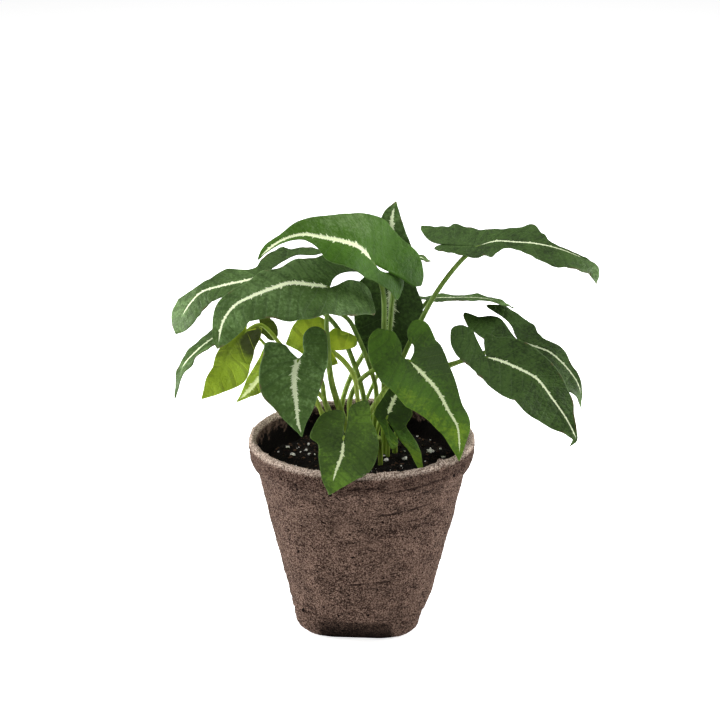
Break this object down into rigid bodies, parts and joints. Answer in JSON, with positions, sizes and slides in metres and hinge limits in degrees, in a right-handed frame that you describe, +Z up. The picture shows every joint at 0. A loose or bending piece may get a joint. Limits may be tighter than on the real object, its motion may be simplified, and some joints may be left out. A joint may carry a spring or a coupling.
{
  "type": "potted syngonium wendlandii",
  "caption": "Young arrowhead vine with dark arrow-shaped leaves, white feathered midribs and a few yellow-green young leaves, growing in peaty soil in a tapered moulded fibre pot.",
  "frame": {"origin": "middle of the pot's underside, on the surface it stands on", "axes": "+Z up along the pot's axis; -Y is the front that the picture shows; +X to the right of that view"},
  "size_m": [0.2247, 0.1296, 0.2255],
  "materials": {
    "moulded_fibre": "matte",
    "dark_soil": "matte",
    "leaf_green": "satin",
    "bright_leaf_green": "satin",
    "young_leaf_green": "satin"
  },
  "bodies": {
    "root": {"pot": "moulded_fibre", "soil": "dark_soil", "leaf_top": "bright_leaf_green", "leaf_upper_left": "leaf_green", "leaf_far_left": "leaf_green", "leaf_left_narrow": "leaf_green", "young_leaf_left": "young_leaf_green", "young_leaf_lower_left": "young_leaf_green", "leaf_front_left": "leaf_green", "young_leaf_middle": "young_leaf_green", "leaf_front_small": "leaf_green", "leaf_front_right": "bright_leaf_green", "young_leaf_right": "bright_leaf_green", "leaf_upper_right": "leaf_green", "leaf_back_right": "leaf_green", "leaf_lower_right": "leaf_green", "leaf_far_right": "leaf_green", "leaf_back_upright": "leaf_green", "leaf_back_small": "leaf_green", "leaf_hanging_middle": "leaf_green"}
  },
  "joints": []
}
